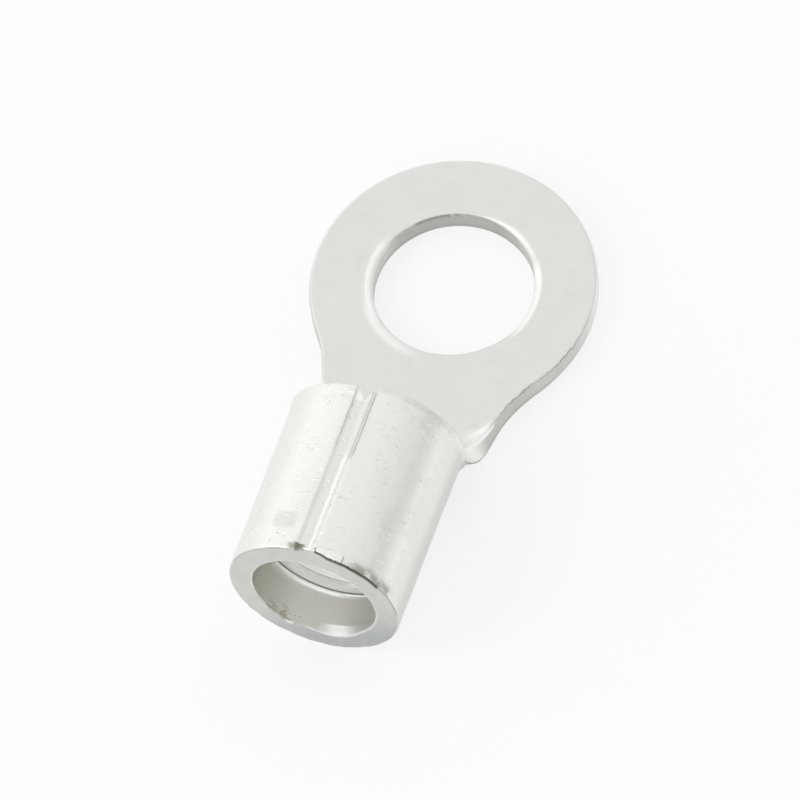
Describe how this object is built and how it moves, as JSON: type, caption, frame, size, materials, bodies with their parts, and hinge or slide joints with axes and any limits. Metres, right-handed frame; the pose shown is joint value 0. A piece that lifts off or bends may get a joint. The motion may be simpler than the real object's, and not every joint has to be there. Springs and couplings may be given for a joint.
{
  "type": "ring terminal",
  "caption": "Bare ring terminal of tinned copper sheet: a flat ring that clamps under a nut or bolt head, and a brazed-seam barrel that is crimped onto a stranded conductor.",
  "frame": {"origin": "centre of the stud hole on the tongue's underside", "axes": "+Z along the stud, out of the tongue's top face; the barrel runs along -Y and its mouth opens to -Y; X is across"},
  "size_m": [0.0232, 0.0452, 0.0144],
  "materials": {
    "tinned_copper": "satin electro-tinned copper"
  },
  "bodies": {
    "root": {"ring_terminal": "tinned_copper"}
  },
  "joints": []
}
